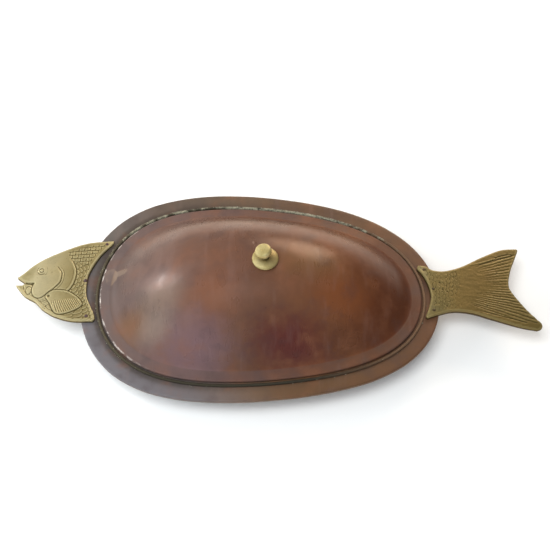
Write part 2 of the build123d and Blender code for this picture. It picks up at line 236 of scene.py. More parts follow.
def oval_loop(oval, inset, count=loop_count, scale=1.0):
    """Points of an oval in mm as an array, moved inwards by inset and scaled about the knob."""
    t = np.linspace(0, 2 * math.pi, count, endpoint=False)
    c, s = np.cos(t), np.sin(t)
    swell = 1 - oval["taper"] * c + oval_fullness * c * c
    swell_rate = oval["taper"] * s - 2 * oval_fullness * c * s
    x = oval["centre"] + oval["half_length"] * c
    y = oval["half_width"] * s * swell - oval_drop * c * c + oval_skew * s * s * c
    dx = -oval["half_length"] * s
    dy = oval["half_width"] * (c * swell + s * swell_rate)
    dy += 2 * oval_drop * c * s + oval_skew * s * (2 * c * c - s * s)
    run = np.hypot(dx, dy)
    x, y = x - inset * dy / run, y + inset * dx / run
    return np.stack([knob_x + (x - knob_x) * scale, y * scale], axis=1)


def row(oval, inset, z, scale=1.0):
    """One loop of a sheet-metal form, as points at one height."""
    flat = oval_loop(oval, inset, scale=scale)
    return np.column_stack([flat, np.full(len(flat), z)])


def blend_rows(first, last, steps):
    """Rows spaced evenly between two rows, ends left out."""
    return [first + (last - first) * i / (steps + 1) for i in range(1, steps + 1)]


def arc_row(oval, inset, z, radius, degrees):
    """Row on a round bend, with its centre at inset and z, and degrees from straight outwards to up."""
    angle = math.radians(degrees)
    return row(oval, inset - radius * math.cos(angle), z + radius * math.sin(angle))


def wall_row(height, radius, floor):
    """Row on the well's wall and its rounded corner, for a face with this corner radius."""
    corner_top = floor + radius * (1 - math.cos(pan_wall_angle))
    run = (flange_z - corner_top) / math.tan(pan_wall_angle)
    if height >= corner_top:
        inset = (flange_z - height) / math.tan(pan_wall_angle)
    else:
        lift = math.sqrt(max(0.0, radius ** 2 - (radius - (height - floor)) ** 2))
        inset = run + radius * math.sin(pan_wall_angle) - lift
    outwards = (pan_sheet - floor) / math.sin(pan_wall_angle)
    return row(lid_oval, well_inset + inset - outwards, height)


def new_piece(name, mesh):
    """Object of a finished mesh, linked into the scene, with its normals pointing outwards."""
    shape = bmesh.new()
    shape.from_mesh(mesh)
    bmesh.ops.recalc_face_normals(shape, faces=shape.faces)
    shape.to_mesh(mesh)
    shape.free()
    mesh.shade_smooth()
    piece = bpy.data.objects.new(name, mesh)
    bpy.context.scene.collection.objects.link(piece)
    return piece


def value_on(piece, name, values):
    """Stores one value for each vertex on a piece, for its material."""
    layer = piece.data.attributes.new(name, "FLOAT", "POINT")
    layer.data.foreach_set("value", np.asarray(values, dtype=np.float32))


def loops_piece(name, rows, open_after=None):
    """Mesh through a ring of loops in mm, and its points. Where it is open after one loop, that loop and
    the next each end in a point at their middle."""
    count = len(rows[0])
    points = np.concatenate(rows)
    faces = []
    for r in range(len(rows)):
        if r != open_after:
            a, b = r * count, (r + 1) % len(rows) * count
            faces += [(a + i, a + (i + 1) % count, b + (i + 1) % count, b + i) for i in range(count)]
    if open_after is not None:
        for r in (open_after, open_after + 1):
            points = np.vstack([points, rows[r].mean(axis=0)])
            faces += [(r * count + i, r * count + (i + 1) % count, len(points) - 1) for i in range(count)]
    mesh = bpy.data.meshes.new(name)
    mesh.from_pydata((points * MM).tolist(), [], faces)
    return new_piece(name, mesh), points


def waves(points, length, seed):
    """Smooth random field from -1 to 1 at points in mm, with this wave length."""
    shift = Vector((seed, 3.7 * seed, 0))
    return np.array([noise.noise(Vector(p) / length + shift) for p in points.tolist()])


def pan_rows():
    """Rows of the pan's upper face, from the lip's lower edge over the flange to the well's floor."""
    lip_foot = flange_z - pan_lip_drop
    rows = [row(pan_oval, pan_sheet, lip_foot), row(pan_oval, 0, lip_foot)]
    rows += [arc_row(pan_oval, pan_lip_radius, flange_z - pan_lip_radius, pan_lip_radius, a)
             for a in (0, 18, 36, 54, 72, 90)]
    mouth = row(lid_oval, well_inset - mouth_bend, flange_z)
    rows += blend_rows(rows[-1], mouth, 9) + [mouth, row(lid_oval, well_inset - 0.4, flange_z - 0.25)]
    rows += [wall_row(z, pan_corner_radius - pan_sheet, pan_sheet)
             for z in (36.6, 34, 30, 25, 19, 13, 8, 5.5, 3.8, 2.6, 1.8, 1.35, pan_sheet)]
    floor_edge = rows[-1]
    middle = floor_edge.mean(axis=0)
    return rows + [middle + (floor_edge - middle) * k for k in (0.85, 0.6, 0.3, 0.08)]


def pan_underside_rows():
    """Rows of the pan's lower face, from the middle of the base out to the lip."""
    floor_edge = wall_row(0.0, pan_corner_radius, 0.0)
    middle = floor_edge.mean(axis=0)
    rows = [middle + (floor_edge - middle) * k for k in (0.08, 0.3, 0.6, 0.85)]
    rows += [wall_row(z, pan_corner_radius, 0.0)
             for z in (0.0, 0.2, 0.7, 1.5, 2.7, 4.5, 7.5, 13, 19, 25, 30, 34, 36.2)]
    under = flange_z - pan_sheet
    mouth = row(lid_oval, well_inset - pan_sheet - mouth_bend, under)
    inner_lip = row(pan_oval, pan_lip_radius + 0.6, under)
    rows += [row(lid_oval, well_inset - pan_sheet - 0.4, under - 0.2), mouth]
    return rows + blend_rows(mouth, inner_lip, 5) + [inner_lip, row(pan_oval, pan_sheet, under - 0.7)]


def make_pan():
    """The pan's sheet, with the flange's slow waves and the rim's uneven outline."""
    over = pan_rows()
    rows = over + pan_underside_rows()
    points = np.concatenate(rows)
    flat = points * [1, 1, 0]
    on_flange = np.clip((points[:, 2] - (flange_z - 2 * pan_lip_drop)) / pan_lip_drop, 0, 1)
    points[:, 2] += waves(flat, flange_wave_length, 1.3) * flange_wave * on_flange * flange_free(points)
    swing = waves(flat, rim_wave_length, 5.1) * rim_wave * on_flange
    out = points[:, :2] - np.array([pan_oval["centre"], 0.0])
    out /= np.maximum(np.hypot(out[:, 0], out[:, 1]), 1.0)[:, None]
    points[:, :2] += out * (swing * rim_share(points))[:, None]
    piece, points = loops_piece("pan_sheet", np.split(points, len(rows)), len(over) - 1)
    # Painted shade with some dirt: the flange is marked darker close outside the lid's edge, where the lid
    # and ring shade it.
    value_on(piece, "ring_shade", np.clip((13.0 + oval_distance(points, lid_oval)) / 5.0, 0, 1))
    return piece


def oval_distance(points, oval):
    """Rough distance in mm from points to an oval, positive inside."""
    loop = oval_loop(oval, 0.0, 144)
    gap = np.hypot(points[:, None, 0] - loop[None, :, 0], points[:, None, 1] - loop[None, :, 1]).min(axis=1)
    along = (points[:, 0] - oval["centre"]) / oval["half_length"]
    scaled = np.hypot(along, points[:, 1] / oval["half_width"])
    return np.where(scaled < 1, gap, -gap)


def flange_free(points):
    """1 on the free flange, falling to 0 under the castings, the lid and the seat ring."""
    from_lid = -oval_distance(points, lid_oval)
    away = np.clip((from_lid - 5.5) / 4.0, 0, 1)
    ends = np.clip((still_under_castings - np.abs(points[:, 0])) / 12.0, 0, 1)
    return away * ends


def rim_share(points):
    """1 at the rim, falling to 0 towards the lid and under the castings."""
    from_rim = oval_distance(points, pan_oval)
    ends = np.clip((still_under_castings + 7.0 - np.abs(points[:, 0])) / 12.0, 0, 1)
    return np.clip(1 - from_rim / 8.0, 0, 1) * ends


def noise_field(coordinates, wave_mm, detail=3.0, stretch=(1, 1, 1), shift=0.0):
    """Noise from 0 to 1 on the object's own coordinates, with a wave length in mm."""
    tree = coordinates.id_data
    mapped = add_node(tree, "ShaderNodeMapping", {
        "Vector": coordinates, "Scale": tuple(1000.0 / wave_mm * k for k in stretch),
        "Location": (shift, shift, shift)})
    return add_node(tree, "ShaderNodeTexNoise", {
        "Vector": mapped.outputs[0], "Scale": 1.0, "Detail": detail, "Roughness": 0.55}).outputs["Fac"]


def tint_along(value, stops):
    """Colour that changes along a value in mm, from a list of places and hex codes."""
    first, last = stops[0][0], stops[-1][0]
    share = ramp(value, first * MM, last * MM, way="LINEAR")
    node = add_node(value.id_data, "ShaderNodeValToRGB", {"Fac": share})
    marks = node.color_ramp.elements
    marks.remove(marks[1])
    for i, (place, code) in enumerate(stops):
        mark = marks[0] if i == 0 else marks.new((place - first) / (last - first))
        mark.position = (place - first) / (last - first)
        mark.color = linear(code)
    return node.outputs["Color"]


def stored(material, name):
    """The value that a piece's mesh stores for its material under this name."""
    return add_node(material.node_tree, "ShaderNodeAttribute", attribute_name=name).outputs["Fac"]


def bumped(height, strength, distance, normal=None):
    """Surface direction after a fine relief, laid over another where one is given."""
    under = {} if normal is None else {"Normal": normal}
    return add_node(height.id_data, "ShaderNodeBump", {
        "Strength": strength, "Distance": distance, "Height": height, **under}).outputs[0]


def finished(material, colour, metallic, rough, normal=None):
    """Gives a material its one surface and its output."""
    under = {} if normal is None else {"Normal": normal}
    surface = add_node(material.node_tree, "ShaderNodeBsdfPrincipled", {
        "Base Color": colour, "Metallic": metallic, "Roughness": rough, **under})
    add_node(material.node_tree, "ShaderNodeOutputMaterial", {"Surface": surface.outputs[0]})
    return material


def aged_copper(name, stops, stains=(), grey_reflection_share=0.0, edge_wear_and_highlight=0.0, dullness=0.0, brim_stops=None,
                grime_and_shade=0.0):
    """Old copper that has been polished and handled: a thin brown oxide, rosy, grey or orange by its
    thickness, with broad planishing marks, fine wiping marks, and small dark pits. Its tint follows stops
    along X, and brim_stops on the brim. A stain is x, y and reaches in mm, tint, strength and softness.
    The near left side is greyed by grey_reflection_share, a painted reflection of the grey room. The corner
    beside the ring is darkened by grime, painted shade of the lid's edge and the ring with some dirt. The
    rolled edge at the head end is made pale by edge_wear_and_highlight, bare metal with a painted highlight,
    and dullness roughens the whole."""
    material, here, place = new_material(name)
    across = (1, 1, 1) if stains else (1.0, 0.55, 0.55)
    cloud = noise_field(here, 62.0, 3.0, across, 4.1)
    blotch = noise_field(here, 27.0, 3.0, across, 1.3)
    grain = noise_field(here, 3.2, 5.0, shift=2.3)
    wiped = noise_field(here, 16.0, 4.0, (1.6, 0.35, 0.35), 8.8)
    fleck = noise_field(here, 6.0, 4.0, shift=7.1)
    drift = calc("MULTIPLY", calc("SUBTRACT", cloud, 0.5), 0.16)
    colour = tint_along(calc("ADD", place["X"], drift), stops)
    ragged = calc("SUBTRACT", calc("ADD", blotch, calc("MULTIPLY", fleck, 0.5)), 0.75)
    for x, y, reach_x, reach_y, tint, strength, softness in stains:
        away = oval_reach(here, (x * MM, y * MM, 0), (1 / (reach_x * MM), 1 / (reach_y * MM), 0))
        share = ramp(calc("ADD", away, ragged), 0.72 + softness, 0.72 - softness, 0.0, strength)
        colour = mix_colour(share, colour, tint)
    if brim_stops:
        brim = calc("MULTIPLY", stored(material, "brim"), ramp(blotch, 0.3, 0.6, 0.9, 0.55))
        colour = mix_colour(brim, colour, tint_along(place["X"], brim_stops))
    if grey_reflection_share:
        # Painted reflection: the flange's near left side is tinted grey, as if it mirrored the grey room.
        low = ramp(calc("ADD", place["X"], place["Y"]), -0.10, -0.26, 0.0, grey_reflection_share)
        colour = mix_colour(low, colour, "#706e73")
    if grime_and_shade:
        # Painted shade with some dirt beside the ring, strongest at the head end.
        ring_shade_share = calc("MULTIPLY", stored(material, "ring_shade"), ramp(place["X"], 0.06, -0.15, 0.15, grime_and_shade))
        colour = mix_colour(ring_shade_share, colour, "#3f372f")
    colour = mix_colour(ramp(blotch, 0.50, 0.72, 0.0, 0.22), colour, "#8c5a3e")
    colour = mix_colour(ramp(blotch, 0.50, 0.30, 0.0, 0.28), colour, "#453838")
    colour = mix_colour(ramp(wiped, 0.52, 0.74, 0.0, 0.09), colour, "#9d8078")
    colour = mix_colour(ramp(grain, 0.34, 0.22, 0.0, 0.55), colour, "#2b1c16")
    shine = calc("ADD", ramp(cloud, 0.3, 0.7, 0.25 + dullness, 0.33 + dullness),
                 ramp(wiped, 0.35, 0.7, -0.02, 0.05))
    if brim_stops:
        shine = calc("ADD", shine, calc("MULTIPLY", stored(material, "cove"), 0.26))
    if edge_wear_and_highlight:
        # Bare metal with a painted highlight: pale flecks on the rolled edge, only at the head end, where the
        # side lamp's highlight falls.
        flecks = noise_field(here, 5.0, 5.0, (0.7, 0.7, 2.0), 3.9)
        left = ramp(place["X"], -0.11, -0.185)
        wear_and_highlight = calc("MULTIPLY", left, ramp(flecks, 0.46, 0.60))
        wear_and_highlight = calc("MULTIPLY", calc("MULTIPLY", stored(material, "rubbed_and_highlit"), wear_and_highlight), edge_wear_and_highlight)
        colour = mix_colour(wear_and_highlight, colour, "#d6cdc4")
        shine = add_node(material.node_tree, "ShaderNodeMix", {0: wear_and_highlight, 2: shine, 3: 0.22},
                         data_type="FLOAT").outputs[0]
    spots = add_node(material.node_tree, "ShaderNodeTexVoronoi", {"Vector": here, "Scale": 27.0})
    normal = bumped(noise_field(here, 19.0, 1.0, shift=6.0), 0.30, 0.0007)
    normal = bumped(ramp(spots.outputs["Distance"], 0.02, 0.075), 0.4, 0.0004, normal)
    normal = bumped(grain, 0.12, 0.0002, normal)
    return finished(material, colour, 0.12, shine, normal)


pan = make_pan()
pan_tints = [(-215, "#65625e"), (-120, "#685c55"), (-20, "#6f5742"), (80, "#62472f"), (215, "#63442e")]
flange_stains = [(-70, 128, 120, 22, "#544a3e", 0.55, 0.5), (80, 118, 110, 24, "#553f30", 0.6, 0.5)]
pan.data.materials.append(aged_copper(
    "planished_copper", pan_tints, flange_stains, grey_reflection_share=0.85, dullness=0.10, grime_and_shade=0.8))
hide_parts("dish_pan")
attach(pan, "dish")


# Seat ring: copper wire about 3.6 mm thick, bent round the lid and soft-soldered to the flange. Solder
# and polish caught beside it have gone to verdigris, a grey-green crust that breaks into crumbs.

ring_radius = 1.8
ring_centre = 0.8
ring_gap = 1.6
crumb_count = 900
crumb_size = 0.55 * MM


def geometry_tree(name, measure):
    """New geometry tree with its input sockets, and the keys of its measure and its finish."""
    tree = bpy.data.node_groups.new(name, "GeometryNodeTree")
    for in_out in ("INPUT", "OUTPUT"):
        tree.interface.new_socket(name="Geometry", in_out=in_out, socket_type="NodeSocketGeometry")
    keys = [tree.interface.new_socket(name=key, in_out="INPUT", socket_type=kind).identifier
            for key, kind in ((measure, "NodeSocketFloat"), ("Finish", "NodeSocketMaterial"))]
    return tree, add_node(tree, "NodeGroupInput").outputs, keys


def grown(piece, name, made, measure, finish):
    """Plain mesh piece made by running a geometry tree on a piece, which is then removed."""
    tree, ins, keys, shape = made
    solid = add_node(tree, "GeometryNodeRealizeInstances", {"Geometry": shape})
    dressed = add_node(tree, "GeometryNodeSetMaterial", {
        "Geometry": solid.outputs[0], "Material": ins["Finish"]})
    add_node(tree, "NodeGroupOutput", {"Geometry": dressed.outputs[0]})
    modifier = piece.modifiers.new("grow", "NODES")
    modifier.node_group = tree
    for key, value in zip(keys, (measure, finish)):
        modifier[key] = value
    graph = bpy.context.evaluated_depsgraph_get()
    mesh = bpy.data.meshes.new_from_object(piece.evaluated_get(graph))
    piece.modifiers.remove(modifier)
    bpy.data.objects.remove(piece)
    mesh.name = name
    return new_piece(name, mesh)


def curve_piece(name, points):
    """Closed poly curve through points in mm, for a geometry tree to work on."""
    data = bpy.data.curves.new(name, "CURVE")
    data.dimensions = "3D"
    line = data.splines.new("POLY")
    line.points.add(len(points) - 1)
    for point, place in zip(line.points, points):
        point.co = (*(Vector(place) * MM), 1.0)
    line.use_cyclic_u = True
    piece = bpy.data.objects.new(name, data)
    bpy.context.scene.collection.objects.link(piece)
    return piece


def rod_tree():
    """A round rod along a curve, a little uneven in thickness, as drawn wire beaten down is."""
    tree, ins, keys = geometry_tree("bent_rod", "Radius")
    rise = add_node(tree, "ShaderNodeTexNoise", {"Scale": 60.0, "Detail": 2.0}).outputs["Fac"]
    thick = add_node(tree, "GeometryNodeSetCurveRadius", {
        "Curve": ins["Geometry"], "Radius": ramp(rise, 0.25, 0.75, 0.88, 1.0, "LINEAR")})
    ring = add_node(tree, "GeometryNodeCurvePrimitiveCircle", {"Resolution": 14, "Radius": ins["Radius"]})
    rod = add_node(tree, "GeometryNodeCurveToMesh", {
        "Curve": thick.outputs[0], "Profile Curve": ring.outputs[0]})
    return tree, ins, keys, rod.outputs[0]


def verdigris_copper():
    """Soldered copper wire under verdigris: matt grey-green salts in patches over dark brown metal, thinner
    towards the tail end. The dark near side is painted shade, and the paler far side is partly painted light."""
    material, here, place = new_material("verdigris_copper")
    patch = noise_field(here, 11.0, 5.0, shift=3.0)
    grain = noise_field(here, 2.2, 4.0, shift=5.0)
    # The crust thins towards the near side and leaves dark metal there as painted shade under the lid's edge.
    # The paler far side is partly painted light.
    far = ramp(place["Y"], -0.01, 0.09, -0.16, 0.10)
    right = ramp(place["X"], 0.10, 0.19, 0.0, -0.16)
    crust = ramp(calc("ADD", patch, calc("ADD", far, right)), 0.47, 0.63)
    metal = tint_along(place["X"], [(-195, "#57503f"), (-110, "#403c30"), (60, "#38342a"),
                                    (130, "#5c4937"), (195, "#7b614a")])
    metal = mix_colour(ramp(grain, 0.45, 0.25, 0.0, 0.5), metal, "#201b15")
    salts = mix_colour(ramp(grain, 0.3, 0.7), "#5a594c", "#a3a08a")
    return finished(material, mix_colour(crust, metal, salts), ramp(crust, 0.0, 1.0, 0.3, 0.0),
                    ramp(crust, 0.0, 1.0, 0.6, 0.9), bumped(grain, 0.6, 0.0004))


ring_path = oval_loop(lid_oval, -(ring_gap + ring_radius), 360)
ring_rise = 0.12 * waves(np.column_stack([ring_path, ring_path[:, 0] * 0]), 20.0, 9.1)
ring_places = np.column_stack([ring_path, flange_z + ring_centre + ring_rise])
ring_line = curve_piece("ring_path", ring_places.tolist())
ring = grown(ring_line, "seat_wire", rod_tree(), ring_radius * MM, verdigris_copper())
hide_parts("seat_ring")
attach(ring, "dish")


def crumb_tree():
    """Small uneven crumbs, one on each point of a mesh."""
    tree, ins, keys = geometry_tree("crust_crumbs", "Size")
    crumb = add_node(tree, "GeometryNodeMeshIcoSphere", {"Radius": 1.0, "Subdivisions": 1})
    turn = add_node(tree, "FunctionNodeRandomValue", {
        1: (6.28, 6.28, 6.28), "Seed": 4}, data_type="FLOAT_VECTOR")
    vary = add_node(tree, "FunctionNodeRandomValue", {
        0: (0.5, 0.5, 0.3), 1: (1.3, 1.6, 0.8), "Seed": 9}, data_type="FLOAT_VECTOR")
    scale = add_node(tree, "ShaderNodeVectorMath", {0: vary.outputs[0], "Scale": ins["Size"]},
                     operation="SCALE")
    placed = add_node(tree, "GeometryNodeInstanceOnPoints", {
        "Points": ins["Geometry"], "Instance": crumb.outputs[0], "Rotation": turn.outputs[0],
        "Scale": scale.outputs[0]})
    return tree, ins, keys, placed.outputs[0]


def crumb_places():
    """Places in mm of the crumbs, thick on the far side and thin near the head, beside and on the ring."""
    chance = np.random.default_rng(5)
    steps = 3600
    outer = oval_loop(lid_oval, -(ring_gap + 2 * ring_radius + 0.1), steps)
    over = oval_loop(lid_oval, -(ring_gap + 1.3 * ring_radius), steps)
    pick = chance.integers(0, steps, crumb_count * 3)
    angle = pick / 10
    far_side, head_side = (angle > 58) & (angle < 128), (angle >= 128) & (angle < 215)
    weight = np.where(far_side, 1.0, np.where(head_side, 0.30, 0.04))
    clump = 0.5 + 0.9 * np.array([noise.noise(Vector((a / 7.0, 2.0, 0))) for a in angle])
    pick = pick[chance.random(len(pick)) < weight * clump]
    high = chance.random(len(pick)) < 0.45
    flat = np.where(high[:, None], over[pick], outer[pick]) + chance.normal(0, 0.35, (len(pick), 2))
    rise = np.where(high, ring_centre + 0.80 * ring_radius, 0.25)
    return np.column_stack([flat, flange_z + rise])


def dry_verdigris():
    """Crumbs of verdigris: pale grey-green and chalky."""
    material, here, _ = new_material("dry_verdigris")
    grain = noise_field(here, 3.0, 4.0, shift=1.0)
    return finished(material, mix_colour(ramp(grain, 0.35, 0.65), "#6b6a5a", "#b0af9c"), 0.0, 0.9)


crumb_mesh = bpy.data.meshes.new("crumb_places")
crumb_mesh.from_pydata((crumb_places() * MM).tolist(), [], [])
crumb_points = bpy.data.objects.new("crumb_places", crumb_mesh)
bpy.context.scene.collection.objects.link(crumb_points)
crust = grown(crumb_points, "verdigris_crumbs", crumb_tree(), crumb_size, dry_verdigris())
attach(crust, "dish")


# Castings: head and tail are sand-cast brass plates in half relief, 4 to 7 mm thick, flat below and
# riveted to the flange. Brass cast from a carved pattern is soft-edged and dark olive in its hollows. Its
# raised ridges and root bevels are painted pale yellow, partly for wear and partly as painted highlight.

cast_spacing = 0.45
cast_row_share = 0.866
rim_insets = (0.2, 0.5, 0.9, 1.4)
grid_inset = 1.6
edge_round = 1.5
least_thickness = 1.2


def smooth_line(points, step=0.6, closed=False):
    """Dense line through points in mm, as a Catmull-Rom curve."""
    pts = [np.array(p, float) for p in points]
    if closed:
        pts = [pts[-1]] + pts + pts[:2]
    else:
        pts = [2 * pts[0] - pts[1]] + pts + [2 * pts[-1] - pts[-2]]
    line = []
    for a, b, c, d in zip(pts, pts[1:], pts[2:], pts[3:]):
        for t in np.arange(0, 1, step / max(np.hypot(*(c - b)), step)):
            line.append(0.5 * (2 * b + (c - a) * t + (2 * a - 5 * b + 4 * c - d) * t * t
                               + (3 * b - a - 3 * c + d) * t ** 3))
    if not closed:
        line.append(pts[-2])
    return np.array(line)


def line_distance(points, line, closed=False):
    """Distance from points to a line of points, and the share of the way along it."""
    start = line if closed else line[:-1]
    end = np.roll(line, -1, axis=0) if closed else line[1:]
    best = np.full(len(points), 1e9)
    along = np.zeros(len(points))
    for i in range(len(start)):
        way = end[i] - start[i]
        t = np.clip(((points - start[i]) @ way) / max(way @ way, 1e-9), 0, 1)
        gap = np.hypot(*(points - start[i] - t[:, None] * way).T)
        nearer = gap < best
        best[nearer] = gap[nearer]
        along[nearer] = (i + t[nearer]) / len(start)
    return best, along


def inside(points, loop):
    """True for points inside a closed loop."""
    x, y = points[:, 0], points[:, 1]
    hit = np.zeros(len(points), bool)
    for (x1, y1), (x2, y2) in zip(loop, np.roll(loop, -1, axis=0)):
        if y1 == y2:
            continue
        crosses = ((y1 > y) != (y2 > y)) & (x < (x2 - x1) * (y - y1) / (y2 - y1) + x1)
        hit ^= crosses
    return hit


def signed(points, line, loop):
    """Distance to a line, positive inside the loop that it bounds."""
    gap, along = line_distance(points, line)
    return np.where(inside(points, loop), gap, -gap), along


def soft_step(value, low, high):
    """Smooth step from 0 at low to 1 at high."""
    t = np.clip((value - low) / (high - low), 0, 1)
    return t * t * (3 - 2 * t)


def bump(value, width):
    """Round ridge of height 1 where the value is 0."""
    return np.exp(-(value / width) ** 2)


def crown_height(points, middle, peak, radius):
    """Height of a ball's crown over the flange, in mm."""
    away = np.hypot(points[:, 0] - middle[0], points[:, 1] - middle[1])
    return peak - (radius - np.sqrt(radius ** 2 - away ** 2))


def cast_piece(name, outline, relief, crown):
    """Cast plate with a flat back: a fine mesh inside the outline, lifted to crown and relief in mm."""
    low, high = outline.min(axis=0), outline.max(axis=0)
    grid = []
    for i, y in enumerate(np.arange(low[1], high[1], cast_spacing * cast_row_share)):
        shift = (i % 2) * cast_spacing / 2
        grid += [(x, y) for x in np.arange(low[0] + shift, high[0], cast_spacing)]
    grid = np.array(grid)
    grid = grid[inside(grid, outline)]
    gap, _ = line_distance(grid, outline, closed=True)
    parts, gaps = [outline], [np.zeros(len(outline))]
    way = np.roll(outline, -1, axis=0) - np.roll(outline, 1, axis=0)
    inward = np.column_stack([-way[:, 1], way[:, 0]]) / np.hypot(*way.T)[:, None]
    if not inside(outline[:1] + rim_insets[0] * inward[:1], outline)[0]:
        inward = -inward
    for inset in rim_insets:
        loop = outline + inset * inward
        reach, _ = line_distance(loop, outline, closed=True)
        clear = (reach > inset - 0.03) & inside(loop, outline)
        parts.append(loop[clear])
        gaps.append(reach[clear])
    flat = np.vstack(parts + [grid[gap > grid_inset]])
    gap = np.concatenate(gaps + [gap[gap > grid_inset]])
    rim = [(i, (i + 1) % len(outline)) for i in range(len(outline))]
    made = geometry.delaunay_2d_cdt([Vector(p) for p in flat], rim, [], 1, 1e-5)
    flat = np.array([tuple(v) for v in made[0]])
    origin = [ids[0] if ids else -1 for ids in made[3]]
    gap = np.array([gap[i] if i >= 0 else 0.0 for i in origin])
    top = crown_height(flat, *crown) + relief(flat, gap)
    low_edge = np.clip(edge_round - gap, 0, edge_round)
    top -= edge_round - np.sqrt(np.maximum(edge_round ** 2 - low_edge ** 2, 0))
    top = np.maximum(top, least_thickness)
    points = [(x, y, flange_z + z) for (x, y), z in zip(flat, top)]
    faces = [tuple(f) for f in made[2]]
    on_rim = {o: i for i, o in enumerate(origin) if 0 <= o < len(outline)}
    loop = [on_rim[i] for i in range(len(outline))]
    middle, base = len(points), len(points) + len(loop)
    points += [(flat[i][0], flat[i][1], flange_z + 0.55 * top[i]) for i in loop]
    points += [(flat[i][0], flat[i][1], flange_z) for i in loop]
    for i in range(len(loop)):
        j = (i + 1) % len(loop)
        faces.append((loop[i], loop[j], middle + j, middle + i))
        faces.append((middle + i, middle + j, base + j, base + i))
    back = geometry.delaunay_2d_cdt([Vector(flat[i]) for i in loop], rim, [], 1, 1e-5)
    faces += [tuple(base + back[3][v][0] for v in reversed(f)) for f in back[2]]
    mesh = bpy.data.meshes.new(name)
    mesh.from_pydata([tuple(c * MM for c in p) for p in points], [], faces)
    piece = new_piece(name, mesh)
    paint_hollows(piece)
    return piece


def mesh_points(piece):
    """A piece's vertices in mm."""
    places = np.zeros(len(piece.data.vertices) * 3)
    piece.data.vertices.foreach_get("co", places)
    return places.reshape(-1, 3) / MM


def paint_hollows(piece, rounds=14):
    """Stores how deep each point lies below its surroundings, in tenths of a millimetre."""
    height = mesh_points(piece)[:, 2]
    ends = np.zeros(len(piece.data.edges) * 2, int)
    piece.data.edges.foreach_get("vertices", ends)
    a, b = ends.reshape(-1, 2).T
    count = np.bincount(np.concatenate([a, b]), minlength=len(height))
    around = height.copy()
    for _ in range(rounds):
        total = np.bincount(a, around[b], len(height)) + np.bincount(b, around[a], len(height))
        around = total / np.maximum(count, 1)
    value_on(piece, "hollow", (around - height) * 10)


def paint_wear_and_highlight(piece, line, width):
    """Stores where a cast edge is painted pale, for wear and as a painted highlight on its bevel, from 1 at
    the line to 0 at this width.
    """
    gap, _ = line_distance(mesh_points(piece)[:, :2], line)
    value_on(piece, "wear_and_highlight", np.clip(1.6 - 1.6 * gap / width, 0, 1))


def dull_brass(name, stops, dark, bright, rub_and_highlight_share):
    """Sand-cast brass, brushed and long handled: dark tarnish in every hollow and a fine sandy grain from
    the mould. Raised ridges and marked edges are painted olive-yellow, partly wear and partly painted
    highlight."""
    material, here, place = new_material(name)
    depth, wear_and_highlight = stored(material, "hollow"), stored(material, "wear_and_highlight")
    cloud = noise_field(here, 26.0, 4.0, shift=2.0)
    sand = noise_field(here, 1.5, 3.0, shift=7.0)
    grime_and_shade = noise_field(here, 7.0, 4.0, shift=5.0)
    drift = calc("MULTIPLY", calc("SUBTRACT", cloud, 0.5), 0.06)
    colour = tint_along(calc("ADD", place["X"], drift), stops)
    colour = mix_colour(ramp(cloud, 0.55, 0.35, 0.0, 0.22), colour, dark)
    # Painted highlight with wear: raised ridges and the marked root edge turn pale yellow.
    raised = ramp(depth, -0.25, -1.6, 0.0, rub_and_highlight_share)
    rubbed_and_highlit = calc("MULTIPLY", wear_and_highlight, ramp(grime_and_shade, 0.3, 0.6, 0.4, 0.9))
    colour = mix_colour(calc("MAXIMUM", raised, rubbed_and_highlit), colour, bright)
    tarnish = ramp(calc("ADD", depth, calc("SUBTRACT", grime_and_shade, 0.5)), 0.15, 1.6, 0.0, 0.80)
    colour = mix_colour(tarnish, colour, dark)
    colour = mix_colour(ramp(sand, 0.38, 0.25, 0.0, 0.45), colour, dark)
    rough = calc("ADD", ramp(cloud, 0.3, 0.7, 0.34, 0.44), calc("MULTIPLY", tarnish, 0.25))
    return finished(material, colour, 0.45, rough, bumped(sand, 0.3, 0.00025))


def on_pan(angle, inset):
    """Point in mm at an angle in degrees on the pan's oval, moved inwards."""
    steps = 3600
    return tuple(oval_loop(pan_oval, inset, steps)[int(round(angle * 10)) % steps])


def root_line(places):
    """Smooth line through places on the pan's oval, for the root of a casting."""
    return smooth_line([on_pan(angle, inset) for angle, inset in places])


# Fish head: forehead, cheek and gill cover are smooth plates that step down to the scales. The mouth is
# cut right through and goes on as a groove. A pectoral fin with fine rays lies on the gill cover.

head_end = pan_low.x
head_root = [(194.0, 12.5), (193.0, 15.7), (190.2, 15.6), (186.8, 12.7), (182.2, 8.4), (176.5, 6.8),
             (171.4, 7.0), (162.9, 11.1), (155.3, 15.2), (153.6, 13.1)]
head_brow = [(4.1, 62.1), (-16.4, 53.7), (-36.5, 42.7), (-55.1, 29.8), (-70.0, 14.5), (-74.7, 10.8)]
head_mouth = [(-74.7, 10.8), (-64.9, 4.0), (-68.0, 0.5), (-75.7, 0.7)]
head_belly = [(-75.7, 0.7), (-64.1, -12.7), (-50.3, -20.9), (-39.9, -30.9), (-24.8, -39.5), (-4.8, -44.5)]
cheek_edge = [(-33.0, 31.0), (-26.4, 22.6), (-23.2, 16.6), (-23.9, 6.0), (-29.0, -1.4), (-34.6, -7.2),
              (-39.6, -12.2), (-45.4, -16.2), (-50.8, -15.4), (-54.2, -11.4), (-55.6, -5.6), (-55.0, 0.6)]
gill_edge = [(-14.6, 37.0), (-10.6, 31.4), (-7.6, 25.2), (-6.2, 18.6), (-6.8, 9.6), (-9.2, 1.0),
             (-13.4, -6.4), (-16.0, -10.2)]
fin_outline = [(-38.4, -13.6), (-31.4, -6.4), (-22.8, -5.4), (-12.6, -7.2), (-3.6, -12.6), (3.4, -19.6),
               (4.0, -25.0), (-3.8, -31.0), (-13.6, -35.2), (-23.0, -36.2), (-28.4, -31.6), (-32.8, -23.0)]
